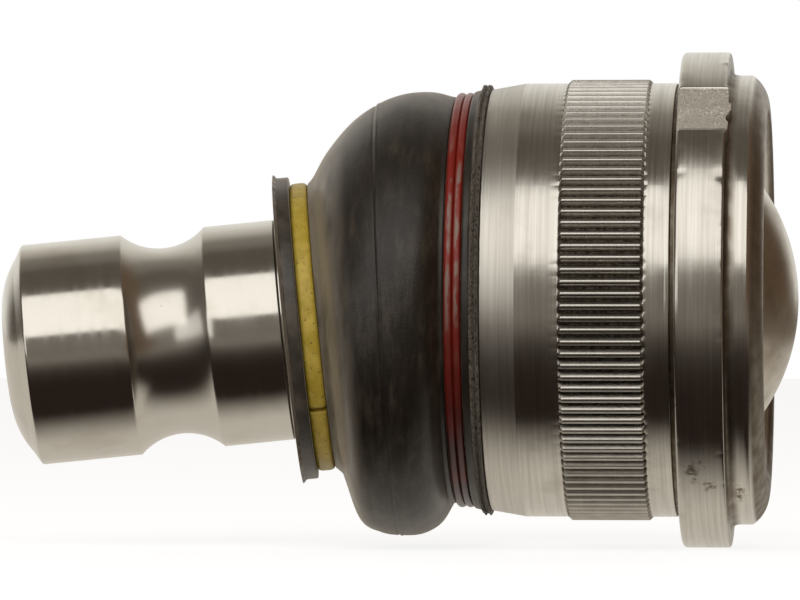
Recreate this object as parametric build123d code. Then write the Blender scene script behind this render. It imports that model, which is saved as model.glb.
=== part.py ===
from build123d import *
import math
import os

# Press-in suspension ball joint with a pinch-bolt stud. All sizes are in millimetres.
# The origin is the ball's centre. +X runs along the housing to the domed cover, +Z is up.
# The stud leaves the housing towards -X, and rests leaning down and towards -Y.
# Places on the knurl, flange and rim are X values. Places on the stud, the neck
# and the boot are distances from the ball's centre, out along the stud's side.

# Stud
ball_radius = 14.0
ball_flat_radius = 4.5
neck_radius = 8.5
neck_fillet = 2.0
neck_end = 16.5
seal_land_start = 22.0
seal_land_radius = 10.7
shank_start = 29.6
shank_radius = 11.0
bolt_groove_centre = 40.8
bolt_groove_radius = 6.0
bolt_groove_depth = 1.7
shank_end = 54.9
tip_bevel_depth = 1.3
tip_bevel_angle = 60.0
stud_length = 57.4
tip_flat_radius = 4.5

# How the stud stands at rest, and how far it swings from the housing's axis
rest_tilt = 7.0
rest_direction = 55.0
swing_limit = 20.0

# Ball seat
ball_clearance = 0.05
seat_wall = 2.5
seat_pole_radius = 8.0
seat_slots = 6
seat_slot_width = 1.2
seat_slot_end = 2.0
seat_fit_clearance = 0.05

# Housing
housing_wall = 5.0
shoulder_start = 6.0
shoulder_end = 9.5
mouth_end = 12.9
mouth_clearance = 0.5
neck_bead_radius = 18.8
neck_bead_width = 1.1
boot_groove_depth = 0.6
front_face = 8.2
front_face_radius = 21.0
lead_in_length = 3.0
knurl_start = -1.0
knurl_length = 8.4
knurl_height = 0.35
knurl_depth = 0.3
knurl_ridges = 116
knurl_land = 0.3
knurl_floor = 0.3
undercut_width = 0.7
undercut_depth = 0.4
face_relief_depth = 0.2
face_relief_clearance = 0.2
flange_start = 10.4
flange_width = 4.75
flange_radius = 24.65
flange_front_edge = 0.6
flange_back_edge = 0.3
flange_root = 0.7
notch_width = 6.0
notch_depth = 0.7
notch_angle = 50.0

# Rolled rim and domed cover plate
rim_radius = 22.35
rim_wall = 2.1
rim_roll_start = 16.9
rim_roll_height = 3.05
rim_lap = 2.35
rim_end = 18.9
cover_seat = 14.0
cover_thickness = 2.5
cover_fit_clearance = 0.05
dome_radius = 19.8
dome_centre = 2.0
dome_fillet = 1.0

# Boot: a lip on the housing's neck, a bellows, and a collar on the stud's seal land
boot_fit_clearance = 0.05
boot_wall = 1.4
flash_radius = 21.5
flash_width = 2.15
lip_end = 12.6
lip_end_radius = 20.3
lower_ring_radius = 20.7
lower_ring_wire = 0.86
lower_ring_overlap = 0.02
lower_ring_opening = 6.0
ring_seat_gap = 0.02
collar_start = 25.2
collar_start_radius = 14.9
collar_end = 29.3
collar_radius = 15.1
feather_height = 0.3
feather_width = 0.2
upper_ring_start = 25.9
upper_ring_width = 1.8
upper_ring_height = 1.6
upper_ring_radius = 14.4
upper_ring_corner = 0.6
upper_ring_split = 0.35
upper_ring_split_angle = 215.0

# The bellows from its lip to its collar, as rings around the leaning stud. Each has its distance
# from the ball's centre, its radius, how far along the stud's lean its middle has moved, and
# its share of the stud's tilt. The side that the stud leans to bulges, and the other side is drawn flat.
bellows_rings = [
    (lip_end, lip_end_radius, 0.0, 0.0),
    (14.2, 21.5, 7.5, 0.2),
    (16.4, 21.95, 13.5, 0.4),
    (18.7, 21.6, 19.0, 0.53),
    (21.2, 20.5, 27.0, 0.7),
    (23.5, 18.4, 35.0, 0.88),
    (collar_start, collar_start_radius, collar_start, 1.0),
]

# Sizes that follow from those above
seat_radius = ball_radius + ball_clearance + seat_wall
bore_radius = seat_radius + seat_fit_clearance
housing_radius = bore_radius + housing_wall
neck_groove_radius = neck_bead_radius - boot_groove_depth
bead_start = mouth_end - neck_bead_width
knurl_end = knurl_start + knurl_length
knurl_radius = housing_radius + knurl_height
face_relief_radius = knurl_radius + face_relief_clearance
flange_end = flange_start + flange_width
cover_face = cover_seat + cover_thickness
cover_bore_radius = rim_radius - rim_wall
rim_crest_radius = rim_radius - rim_roll_height
lip_start = front_face + boot_fit_clearance
lower_ring_start = lip_start + flash_width
lower_ring_pitch = lower_ring_wire - lower_ring_overlap
upper_ring_end = upper_ring_start + upper_ring_width

# The direction that the stud leans to, and the line it tilts about
lean = math.radians(rest_direction)
lean_direction = Vector(0, -math.cos(lean), -math.sin(lean))
tilt_axis = Axis((0, 0, 0), tuple(Vector(-1, 0, 0).cross(lean_direction)))


def corner(face, x, radius):
    """The corner of a section that lies nearest to a point of its outline."""
    return min(face.vertices(), key=lambda v: math.hypot(v.X - x, v.Y - radius))


def turned(section, arc=360):
    """The body that a section in the XY plane, drawn above X, makes when it turns about X."""
    return revolve(section, Axis.X, revolution_arc=arc)


def on_stud(piece):
    """Swings a piece that was made around -X to where the stud stands at rest."""
    return piece.rotate(tilt_axis, rest_tilt)


def mouth_radius(distance):
    """The radius that clears the stud's neck at full swing."""
    swing = math.radians(swing_limit)
    return distance * math.tan(swing) + (neck_radius + mouth_clearance) / math.cos(swing)


def ball_stud():
    """Ball with a flat at its pole, a neck, and a shank with a bolt groove and a crowned tip."""
    flat_x = math.sqrt(ball_radius**2 - ball_flat_radius**2)
    neck_x = -math.sqrt(ball_radius**2 - neck_radius**2)
    bevel_run = tip_bevel_depth / math.tan(math.radians(tip_bevel_angle))
    crown_start = (-shank_end - bevel_run, shank_radius - tip_bevel_depth)
    outline = [
        ThreePointArc((flat_x, ball_flat_radius), (0, ball_radius), (neck_x, neck_radius)),
        Polyline(
            (neck_x, neck_radius),
            (-neck_end, neck_radius),
            (-seal_land_start, seal_land_radius),
            (-shank_start, seal_land_radius),
            (-shank_start, shank_radius),
            (-shank_end, shank_radius),
            crown_start,
        ),
        TangentArc((-stud_length, tip_flat_radius), crown_start, tangent=(0, 1)),
        Polyline((-stud_length, tip_flat_radius), (-stud_length, 0), (flat_x, 0), (flat_x, ball_flat_radius)),
    ]
    section = make_face(Curve() + outline)
    section = fillet(corner(section, neck_x, neck_radius), neck_fillet)
    groove_middle = shank_radius - bolt_groove_depth + bolt_groove_radius
    groove = Pos(-bolt_groove_centre, groove_middle) * Circle(bolt_groove_radius)
    return on_stud(turned(section) - turned(groove))


def ball_seat():
    """One-piece plastic seat that wraps the ball, slotted from the mouth so that it snaps over it."""
    tip = seat_fit_clearance - shoulder_end
    shell = make_face(
        Polyline(
            (0, mouth_radius(0)),
            (tip, mouth_radius(shoulder_end)),
            (-shoulder_start, seat_radius),
            (cover_seat, seat_radius),
            (cover_seat, seat_pole_radius),
            (0, seat_pole_radius),
            close=True,
        )
    )
    seat = turned(shell - Circle(ball_radius + ball_clearance))
    slot = Pos(tip, 0, 0) * Box(
        seat_slot_end - tip, seat_slot_width, seat_radius, align=(Align.MIN, Align.CENTER, Align.MIN)
    )
    return seat - [slot.rotate(Axis.X, 360 / seat_slots * i) for i in range(seat_slots)]


def housing():
    """Turned and knurled housing with its flange, its rim rolled over the cover plate."""
    neck_slope_end = bead_start - boot_groove_depth
    lap_radius = cover_bore_radius - rim_lap
    outline = [
        Polyline(
            (cover_face, lap_radius),
            (cover_face, cover_bore_radius),
            (cover_seat, cover_bore_radius),
            (cover_seat, bore_radius),
            (-shoulder_start, bore_radius),
            (-shoulder_end, mouth_radius(shoulder_end)),
            (-mouth_end, mouth_radius(mouth_end)),
            (-mouth_end, neck_bead_radius),
            (-bead_start, neck_bead_radius),
            (-neck_slope_end, neck_groove_radius),
            (-front_face, neck_groove_radius),
            (-front_face, front_face_radius),
            (lead_in_length - front_face, housing_radius),
            (knurl_start, housing_radius),
            (knurl_start + knurl_height, knurl_radius),
            (knurl_end - knurl_height, knurl_radius),
            (knurl_end, housing_radius),
            (flange_start - undercut_width, housing_radius),
            (flange_start - undercut_width, housing_radius - undercut_depth),
            (flange_start + face_relief_depth, housing_radius - undercut_depth),
            (flange_start + face_relief_depth, face_relief_radius),
            (flange_start, face_relief_radius),
            (flange_start, flange_radius),
            (flange_end, flange_radius),
            (flange_end, rim_radius),
            (rim_roll_start, rim_radius),
        ),
        TangentArc((rim_end, rim_crest_radius), (rim_roll_start, rim_radius), tangent=(0, 1)),
        TangentArc((rim_end, rim_crest_radius), (cover_face, lap_radius), tangent=(0, -1)),
    ]
    section = make_face(Curve() + outline)
    section = fillet(corner(section, flange_start, flange_radius), flange_front_edge)
    section = fillet(corner(section, flange_end, flange_radius), flange_back_edge)
    section = fillet(corner(section, flange_end, rim_radius), flange_root)
    return turned(section) - flange_notch() - knurl_grooves()


def knurl_grooves():
    """Straight knurl: grooves with sloped walls and round ends, which leave narrow ridges between."""
    rise = knurl_height + knurl_depth
    pitch = 2 * math.pi * knurl_radius / knurl_ridges
    slope = math.atan((pitch - knurl_land - knurl_floor) / 2 / rise)
    floor_length = knurl_length - 2 * knurl_depth * math.tan(slope)
    floor = Plane((knurl_start + knurl_length / 2, 0, housing_radius - knurl_depth))
    groove = extrude(floor * SlotOverall(floor_length, knurl_floor), 2 * rise, taper=-math.degrees(slope))
    return [groove.rotate(Axis.X, 360 / knurl_ridges * i) for i in range(knurl_ridges)]


def flange_notch():
    """The flat across the flange's rim, where the forging's own surface is left."""
    notch = Pos(flange_start - undercut_width, 0, flange_radius - notch_depth) * Box(
        undercut_width + flange_width + flange_root,
        notch_width,
        flange_radius,
        align=(Align.MIN, Align.CENTER, Align.MIN),
    )
    return notch.rotate(Axis.X, 90 - notch_angle)


def cover_plate():
    """Round plate with a pressed dome, held in the housing by the rolled rim."""
    plate_radius = cover_bore_radius - cover_fit_clearance
    plate = Pos(cover_seat, 0) * Rectangle(cover_thickness, plate_radius, align=(Align.MIN, Align.MIN))
    beyond = Pos(cover_seat, 0) * Rectangle(dome_radius, plate_radius, align=(Align.MIN, Align.MIN))
    dome = Pos(dome_centre, 0) * Circle(dome_radius) & beyond
    hollow = Pos(dome_centre, 0) * Circle(dome_radius - cover_thickness)
    section = plate + dome - hollow
    foot = math.sqrt(dome_radius**2 - (cover_face - dome_centre) ** 2)
    section = fillet(corner(section, cover_face, foot), dome_fillet)
    return turned(section)


def boot_lip():
    """Lower end of the boot: a flash band, the groove for the clamp ring, and a foot in the neck's groove."""
    neck_slope_end = bead_start - boot_groove_depth
    groove_floor = lower_ring_radius - lower_ring_wire - ring_seat_gap
    groove_end = lower_ring_start + 2 * lower_ring_wire + 2 * ring_seat_gap
    foot_radius = neck_groove_radius + boot_fit_clearance
    over_bead = neck_bead_radius + boot_fit_clearance
    outline = Polyline(
        (-lip_start, foot_radius),
        (-lip_start, flash_radius),
        (-lower_ring_start, flash_radius),
        (-lower_ring_start, groove_floor),
        (-groove_end, groove_floor),
        (-groove_end, lip_end_radius),
        (-lip_end, lip_end_radius),
        (-lip_end, over_bead),
        (-bead_start + boot_fit_clearance, over_bead),
        (-neck_slope_end + boot_fit_clearance, foot_radius),
        close=True,
    )
    return turned(make_face(outline))


def boot_lower_ring():
    """Clamp ring of two turns of wire, side by side, open at the back."""
    middle = lower_ring_radius - lower_ring_wire / 2
    first = lower_ring_start + ring_seat_gap + lower_ring_wire / 2
    section = Sketch() + [
        Pos(-first - lower_ring_pitch * i, middle) * Circle(lower_ring_wire / 2) for i in range(2)
    ]
    ring = turned(section, 360 - lower_ring_opening)
    return ring.rotate(Axis.X, lower_ring_opening / 2)


def boot_bellows():
    """Middle of the boot: a round shell whose rings follow the stud's lean."""

    def skin(inset):
        rings = []
        for distance, radius, place, share in bellows_rings:
            tilt = rest_tilt * share
            offset = place * math.sin(math.radians(rest_tilt))
            middle = Vector(-distance * math.cos(math.radians(tilt)), 0, 0) + lean_direction * offset
            facing = Vector(-1, 0, 0).rotate(tilt_axis, tilt)
            rings.append(Plane(middle, z_dir=facing) * Circle(radius - inset))
        return loft(rings)

    return skin(0) - skin(boot_wall)


def boot_collar():
    """Upper end of the boot: the groove for the split ring, and a disc with a thin feathered edge."""
    groove_floor = upper_ring_radius - upper_ring_height - ring_seat_gap
    groove_end = upper_ring_end + ring_seat_gap
    hole = seal_land_radius + boot_fit_clearance
    outline = Polyline(
        (-collar_start, hole),
        (-collar_start, collar_start_radius),
        (-upper_ring_start + ring_seat_gap, collar_start_radius - boot_wall / 2),
        (-upper_ring_start + ring_seat_gap, groove_floor),
        (-groove_end, groove_floor),
        (-groove_end, collar_radius),
        (-collar_end + feather_width, collar_radius),
        (-collar_end, collar_radius + feather_height),
        (-collar_end, hole),
        close=True,
    )
    return on_stud(turned(make_face(outline)))


def boot_upper_ring():
    """Flat split ring that holds the collar, with its cut low on the -Y side."""
    section = Pos(-upper_ring_start - upper_ring_width / 2, upper_ring_radius - upper_ring_height / 2) * (
        RectangleRounded(upper_ring_width, upper_ring_height, upper_ring_corner)
    )
    cut = math.degrees(upper_ring_split / upper_ring_radius)
    ring = turned(section, 360 - cut)
    return on_stud(ring.rotate(Axis.X, upper_ring_split_angle + cut / 2))


pieces = {
    "housing": housing,
    "cover_plate": cover_plate,
    "ball_seat": ball_seat,
    "ball_stud": ball_stud,
    "boot_lip": boot_lip,
    "boot_lower_ring": boot_lower_ring,
    "boot_bellows": boot_bellows,
    "boot_collar": boot_collar,
    "boot_upper_ring": boot_upper_ring,
}

os.makedirs("parts", exist_ok=True)
for name, make in pieces.items():
    export_step(make(), f"parts/{name}.step")
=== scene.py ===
import math

import bpy
import numpy as np
from bpy.props import FloatProperty, FloatVectorProperty, IntProperty, PointerProperty
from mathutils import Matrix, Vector


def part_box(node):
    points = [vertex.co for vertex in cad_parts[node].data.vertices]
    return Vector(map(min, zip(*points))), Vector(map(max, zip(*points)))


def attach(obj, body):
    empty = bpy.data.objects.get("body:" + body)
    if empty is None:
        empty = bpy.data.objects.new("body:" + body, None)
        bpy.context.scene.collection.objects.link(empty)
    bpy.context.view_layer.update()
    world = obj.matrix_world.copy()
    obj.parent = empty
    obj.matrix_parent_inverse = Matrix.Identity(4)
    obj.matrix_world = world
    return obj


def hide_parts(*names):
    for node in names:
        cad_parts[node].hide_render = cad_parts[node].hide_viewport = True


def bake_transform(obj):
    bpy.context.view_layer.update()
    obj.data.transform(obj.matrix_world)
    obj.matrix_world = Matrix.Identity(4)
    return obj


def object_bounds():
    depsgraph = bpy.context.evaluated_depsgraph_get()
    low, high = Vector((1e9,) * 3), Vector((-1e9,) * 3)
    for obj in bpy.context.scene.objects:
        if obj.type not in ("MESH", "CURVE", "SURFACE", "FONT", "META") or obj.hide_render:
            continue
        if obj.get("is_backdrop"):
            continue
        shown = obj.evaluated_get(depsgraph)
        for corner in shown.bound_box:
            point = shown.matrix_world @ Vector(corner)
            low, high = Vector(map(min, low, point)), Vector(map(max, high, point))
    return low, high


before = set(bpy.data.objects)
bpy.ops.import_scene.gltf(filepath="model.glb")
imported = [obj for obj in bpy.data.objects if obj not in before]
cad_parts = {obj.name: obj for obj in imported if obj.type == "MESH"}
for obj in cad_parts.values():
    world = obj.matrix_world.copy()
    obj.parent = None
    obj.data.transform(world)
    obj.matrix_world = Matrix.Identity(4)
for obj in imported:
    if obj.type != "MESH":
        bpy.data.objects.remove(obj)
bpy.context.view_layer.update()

bl_info = {
    "name": "Suspension ball joint finishes",
    "version": (1, 0, 0),
    "blender": (4, 5, 0),
    "location": "3D View > Sidebar > Ball joint",
    "description": "Builds the visible surfaces of a press-in ball joint over its CAD frame",
    "category": "Object",
}

# Lengths in this file are millimetres, in the frame's axes: +X runs to the domed cover, +Z up, and
# the stud leaves towards -X. Only the mesh itself, the lights and the camera are in metres.
MM = 0.001


def box_mm(node):
    """The lowest and highest corner of a CAD node, in millimetres."""
    return [np.array(corner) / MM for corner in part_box(node)]


def linear(colour):
    """An sRGB hex colour as the linear red, green and blue that shaders take."""
    share = np.array([int(colour[i : i + 2], 16) for i in (1, 3, 5)]) / 255
    return tuple(np.where(share <= 0.04045, share / 12.92, ((share + 0.055) / 1.055) ** 2.4).tolist())


# How the stud stands at rest: tilted from the housing's axis, down and towards -Y
REST_TILT = math.radians(7.0)
REST_DIRECTION = math.radians(55.0)
LEAN = np.array([0.0, -math.cos(REST_DIRECTION), -math.sin(REST_DIRECTION)])
TILT_AXIS = np.cross([-1.0, 0.0, 0.0], LEAN)

# Housing: X of its faces and radii of its turned steps, the outer ones read from the frame
HOUSING_LOW, HOUSING_HIGH = box_mm("housing")
MOUTH_X = HOUSING_LOW[0]
RIM_END = HOUSING_HIGH[0]
FLANGE_RADIUS = HOUSING_HIGH[2]
BORE_RADIUS = 16.6
BARREL_RADIUS = BORE_RADIUS + 5.0
FRONT_FACE = -8.65
LEAD_IN_END = -5.2
FLANGE_START = 10.4
FLANGE_END = 15.15
UNDERCUT_START = 9.85
RIM_RADIUS = 22.35
RIM_ROLL_START = 17.3
RIM_CREST_RADIUS = 19.3
RIM_LAP = 17.9
COVER_FACE = 16.5
COVER_SEAT = 14.0

# Knurl: a band of straight grooves with sloped walls, which leave narrow ridges between them
KNURL_START = -1.0
KNURL_END = 7.4
KNURL_RADIUS = 21.95
GROOVE_FLOOR_RADIUS = 21.3
RIDGE_LAND = 0.5
GROOVE_FLOOR = 0.2

# Notch in the flange. Angles round the housing run from +Y up to +Z
NOTCH_ANGLE = math.radians(130)
NOTCH_DEPTH = 0.7
NOTCH_WIDTH = 6.0

# Knocks on the housing, as (X, degrees round it, length, width, depth), of which one stands proud,
# and smudges of dirt without a depth
KNOCKS = [
    (14.95, 150.8, 0.4, 0.6, 0.16),
    (14.95, 163.5, 0.35, 0.5, 0.15),
    (14.9, 182.3, 0.30, 0.8, 0.13),
    (15.1, 109.0, 0.45, 0.6, -0.14),
    (12.6, 224.0, 0.12, 1.3, 0.06),
    (13.4, 227.0, 0.12, 1.1, 0.06),
    (15.9, 236.0, 0.4, 0.6, 0.10),
    (14.6, 139.0, 0.5, 0.4, 0.08),
    (11.0, 150.0, 0.25, 0.4, 0.07),
]
SMUDGES = [(12.1, 222.0, 1.3, 1.9), (13.6, 227.0, 0.9, 1.3), (16.3, 238.0, 0.9, 2.6)]

# Boot: rings of (distance from the ball's centre, radius, how far its middle has moved along
# the stud's lean, share of the stud's tilt)
BOOT_WALL = 1.4
BELLOWS_RINGS = [
    (12.6, 20.3, 0.0, 0.0),
    (14.2, 21.5, 7.5, 0.2),
    (16.4, 21.95, 13.5, 0.4),
    (18.7, 21.6, 19.0, 0.53),
    (21.2, 20.5, 27.0, 0.7),
    (23.5, 18.4, 35.0, 0.88),
    (25.2, 14.9, 25.2, 1.0),
]
WIRE = 0.86
WIRE_RING_RADIUS = box_mm("boot_lower_ring")[1][2]
SPLIT_RING_RADIUS = 14.4


# Looks that a user would change


def tint(name, description, colour):
    """A colour setting, from an sRGB hex colour."""
    return FloatVectorProperty(name=name, description=description, subtype="COLOR", default=linear(colour))


def spacing(name, description, default):
    """A length setting."""
    return FloatProperty(name=name, description=description, default=default, unit="LENGTH")


def brightness(name, description, default):
    """A setting for a light, where 1 is white."""
    return FloatProperty(name=name, description=description, default=default, min=0, max=10)


class HousingLook(bpy.types.PropertyGroup):
    ridges: IntProperty(name="Ridges", description="Ridges round the knurl", default=116, min=24, max=240)
    ridge_wear: FloatProperty(
        name="Ridge wear", description="How brightly the ridges are rubbed",
        default=0.4, min=0, max=1, subtype="FACTOR",
    )
    lathe_pitch: spacing("Lathe pitch", "Spacing of the turning marks", 0.3 * MM)
    nicks: IntProperty(
        name="Nicks", description="Handling nicks along the flange's edges", default=46, min=0, max=200
    )
    steel: tint("Steel", "Bare turned steel", "#cfcbc2")
    # The oil colour also paints the shade on the rolled rim
    oil: tint("Oil film", "Dried oil and first rust in the steps", "#5e4f39")
    scale: tint("Forging scale", "Unturned surface in the flange's notch", "#f0e8d9")


class CoverLook(bpy.types.PropertyGroup):
    steel: tint("Steel", "Pressed steel of the domed cover", "#bdb5a7")


class StudLook(bpy.types.PropertyGroup):
    grind_pitch: spacing("Grinding pitch", "Spacing of the grinding marks", 0.09 * MM)
    steel: tint("Steel", "Ground alloy steel", "#cdc9c0")


class SeatLook(bpy.types.PropertyGroup):
    plastic: tint("Acetal", "Natural moulded acetal", "#d9d5c6")


class BootLook(bpy.types.PropertyGroup):
    parting_height: spacing("Parting line", "Height of the mould's parting line", 0.06 * MM)
    rubber: tint("Rubber", "Moulded chloroprene rubber", "#201a13")
    dust: tint("Dust", "Talc and dust that clings to the rubber", "#9a9184")


class RingLook(bpy.types.PropertyGroup):
    coating: tint("Wire coating", "Red coating on the clamp wire", "#8a2418")
    # The worn colour also stands for a painted highlight on the wire's outer crests at middle height
    worn: tint("Worn coating", "Rubbed crests of the clamp wire", "#94857a")
    plastic: tint("Split ring", "Yellow moulded split ring", "#c4a833")


class StageLook(bpy.types.PropertyGroup):
    floor: tint("Floor", "Pale studio floor", "#e8e6e2")
    key: brightness("Softbox", "Brightness of the softbox, where 1 is white", 1.3)
    window: brightness("Side window", "Brightness of the smaller light past the stud, where 1 is white", 0.8)
    camera_distance: spacing("Camera distance", "From the camera to the part", 0.7)


# Shapes


def on_stud(points, tilt=REST_TILT):
    """Turns places drawn round the housing's axis about the tilt line: to where the stud stands at
    rest, or each by a tilt of its own."""
    tilt = np.asarray(tilt)[..., None]
    cos, sin = np.cos(tilt), np.sin(tilt)
    along = (points @ TILT_AXIS)[..., None] * TILT_AXIS
    return points * cos + np.cross(TILT_AXIS, points) * sin + along * (1 - cos)


def soften(corners, points=4):
    """Breaks the corners of an outline. A corner is (x, radius, setback), and becomes a parabola
    between the two points that lie setback away from it on its sides."""
    corners = np.array(corners, float)
    place, setback = corners[:, :2], corners[:, 2:]
    sides = [np.roll(place, turn, axis=0) - place for turn in (1, -1)]
    start, end = [place + setback * side / np.linalg.norm(side, axis=1, keepdims=True) for side in sides]
    u = np.linspace(0, 1, points)[None, :, None]
    curve = (1 - u) ** 2 * start[:, None] + 2 * u * (1 - u) * place[:, None] + u**2 * end[:, None]
    return distinct(curve.reshape(-1, 2))


def distinct(line):
    """An outline without the points that repeat the one before."""
    step = np.linalg.norm(np.diff(line, axis=0), axis=1)
    return line[np.concatenate([[True], step > 1e-4])]


def arc(centre, radius, start, end, points=12):
    """Points of a round stretch of an outline, from one angle to another in degrees."""
    turn = np.radians(np.linspace(start, end, points))
    return np.stack([centre[0] + radius * np.cos(turn), centre[1] + radius * np.sin(turn)], axis=1)


def upright_arc(start, end, points):
    """A round stretch of an outline that leaves its start square to the axis, out or in, and ends
    at a given point."""
    run, rise = np.abs(end - start)
    radius = (run**2 + rise**2) / (2 * run)
    turn = np.linspace(0, math.atan2(rise, radius - run), points)
    return start + np.sign(end - start) * radius * np.stack([1 - np.cos(turn), np.sin(turn)], axis=1)


def refine(line, step):
    """Adds points on an outline's runs, evenly, until none is longer than the step."""
    runs = np.diff(line, axis=0)
    parts = np.ceil(np.linalg.norm(runs, axis=1) / step).astype(int)
    run = np.repeat(np.arange(len(runs)), parts)
    share = (np.arange(parts.sum()) - np.repeat(np.cumsum(parts) - parts, parts)) / parts[run]
    return np.vstack([line[run] + runs[run] * share[:, None], line[-1:]])


def travelled(line):
    """The distance along an outline from its first point to each of its points."""
    return np.concatenate([[0.0], np.cumsum(np.linalg.norm(np.diff(line, axis=0), axis=1))])


def whole_turn(count):
    """Angles spaced evenly round a whole turn."""
    return np.linspace(0, 2 * math.pi, count, endpoint=False)


def turn_from(middle, angle):
    """The turn from one angle to others, between half a turn either way."""
    return (angle - middle + math.pi) % (2 * math.pi) - math.pi


def spin(x, radius, angle):
    """Places for an outline that turns about X: (x, radius cos angle, radius sin angle)."""
    x, radius, angle = np.broadcast_arrays(x, radius, angle)
    return np.stack([x, radius * np.cos(angle), radius * np.sin(angle)], axis=-1)


def ripple(rng, shape, waves):
    """Soft random waves over a grid whose columns close round: a sum of cosines of whole turns
    across and of part turns along, each with its own phase."""
    along = np.linspace(0, 1, shape[0], endpoint=False)[:, None]
    across = whole_turn(shape[1])
    total = np.zeros(shape)
    for _ in range(waves):
        turns, runs, phase = rng.integers(1, 90), rng.uniform(0, 12), rng.uniform(0, 2 * math.pi)
        total += np.cos(across * turns + along * runs + phase) / math.sqrt(waves)
    return total


def in_scene(name, data):
    """A new object in the scene, made of a mesh, a light or a camera."""
    made = bpy.data.objects.new(name, data)
    bpy.context.scene.collection.objects.link(made)
    return made


def surface(name, points, loop, material, marks=None):
    """A closed mesh from a grid of places in millimetres. Row i and column j join their
    neighbours in four-sided faces. Columns always close round. Rows close round where the outline
    is a loop, and otherwise each end row closes in a fan on its own middle. Its corner normals
    are the sum of the faces round each vertex, weighted by area, so that flats stay flat beside
    their rounded edges. Marks are one number a vertex, for the material to read."""
    rows, columns = points.shape[:2]
    count = rows * columns
    at = np.arange(count).reshape(rows, columns)
    at = np.vstack([at, at[:1]]) if loop else at
    beside = np.roll(at, -1, axis=1)
    faces = np.stack([at[:-1], at[1:], beside[1:], beside[:-1]], axis=-1).reshape(-1, 4)
    places = points.reshape(-1, 3)
    if not loop:
        places = np.vstack([places, points[[0, -1]].mean(axis=1)])
        fan = np.full(columns, count)
        first = np.stack([fan, at[0], beside[0], fan], axis=-1)
        last = np.stack([fan + 1, beside[-1], at[-1], fan + 1], axis=-1)
        faces = np.vstack([faces, first, last])
    corners = places[faces]
    area = np.cross(corners[:, 2] - corners[:, 0], corners[:, 3] - corners[:, 1])
    if np.einsum("ij,ij->", corners.mean(axis=1), area) < 0:
        faces, area = faces[:, ::-1], -area
    sums = [np.bincount(faces.ravel(), np.repeat(area[:, axis], 4), len(places)) for axis in range(3)]
    normals = np.stack(sums, axis=1)
    quads = faces[faces[:, 0] != faces[:, 3]].tolist()
    fans = faces[faces[:, 0] == faces[:, 3]][:, :3].tolist()
    mesh = bpy.data.meshes.new(name)
    mesh.from_pydata(places * MM, [], quads + fans)
    mesh.polygons.foreach_set("use_smooth", np.ones(len(faces), bool))
    for mark, values in (marks or {}).items():
        values = np.broadcast_to(values, (rows, columns))
        ends = [] if loop else values[[0, -1]].mean(axis=1)
        values = np.concatenate([values.ravel(), ends]).astype(np.float32)
        mesh.attributes.new(mark, "FLOAT", "POINT").data.foreach_set("value", values)
    mesh.normals_split_custom_set_from_vertices(normals / np.linalg.norm(normals, axis=1, keepdims=True))
    mesh.materials.append(material)
    mesh.update()
    return in_scene(name, mesh)


def housing_outline():
    """The housing's section as a closed loop of (x, radius): bore, mouth, neck, barrel, flange,
    and the rim rolled over the cover. The barrel and flange have close rows for the knurl and nicks."""
    cover_bore, bead, neck = 20.25, 18.8, 18.2
    inside = [
        (COVER_FACE, RIM_LAP, 0), (COVER_FACE, cover_bore, 0.1), (COVER_SEAT, cover_bore, 0.1),
        (COVER_SEAT, BORE_RADIUS, 0.2), (-6.0, BORE_RADIUS, 0.2), (-9.5, 13.04, 0.2), (MOUTH_X, 14.27, 0.2),
        (MOUTH_X, bead, 0.25), (-11.8, bead, 0.15), (-11.2, neck, 0.15), (FRONT_FACE, neck, 0.15),
        (FRONT_FACE, 21.0, 0.12), (LEAD_IN_END, BARREL_RADIUS, 0),
    ]
    plain = [(LEAD_IN_END + 0.05, BARREL_RADIUS), (-2.0, BARREL_RADIUS)]
    ends = np.array([0.0, 0.1, 0.2, 0.286, 0.36, 0.44, 0.56, 0.75])
    rows = np.concatenate([KNURL_START + ends, [0.5, 2.0, 3.5, 5.0, 6.2], KNURL_END - ends[::-1]])
    ramps = [KNURL_START, KNURL_START + 0.35, KNURL_END - 0.35, KNURL_END]
    rise = np.interp(rows, ramps, [BARREL_RADIUS, KNURL_RADIUS, KNURL_RADIUS, BARREL_RADIUS])
    undercut, relief, relief_radius = BARREL_RADIUS - 0.4, FLANGE_START + 0.2, 22.15
    outside = [
        (KNURL_END + 0.3, BARREL_RADIUS, 0), (9.22, BARREL_RADIUS, 0), (9.3, BARREL_RADIUS - 0.07, 0),
        (9.38, BARREL_RADIUS, 0), (UNDERCUT_START, BARREL_RADIUS, 0.12), (UNDERCUT_START, undercut, 0.12),
        (relief, undercut, 0.12), (relief, relief_radius, 0.05), (FLANGE_START, relief_radius, 0.05),
        (FLANGE_START, FLANGE_RADIUS, 0.5), (FLANGE_END, FLANGE_RADIUS, 0.3), (FLANGE_END, RIM_RADIUS, 0.85),
        (RIM_ROLL_START, RIM_RADIUS, 0),
    ]
    crest = np.array([RIM_END, RIM_CREST_RADIUS])
    roll = upright_arc(crest, np.array([RIM_ROLL_START, RIM_RADIUS]), 19)[::-1]
    curl = upright_arc(crest, np.array([COVER_FACE, RIM_LAP]), 12)[1:-1]
    knurl = np.stack([rows, rise], axis=1)
    return np.vstack([soften(inside, 3), plain, knurl, refine(soften(outside, 5), 0.42)[:-1], roll, curl])


def near_spot(x, angle, place, around, length, width):
    """How near the housing's places are to a spot at an X and at degrees round it:
    exp(-distance²), where the distance counts lengths along X and widths round the flange."""
    turn = turn_from(math.radians(around), angle)
    return np.exp(-(((x - place) / length) ** 2) - (turn * FLANGE_RADIUS / width) ** 2)


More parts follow.
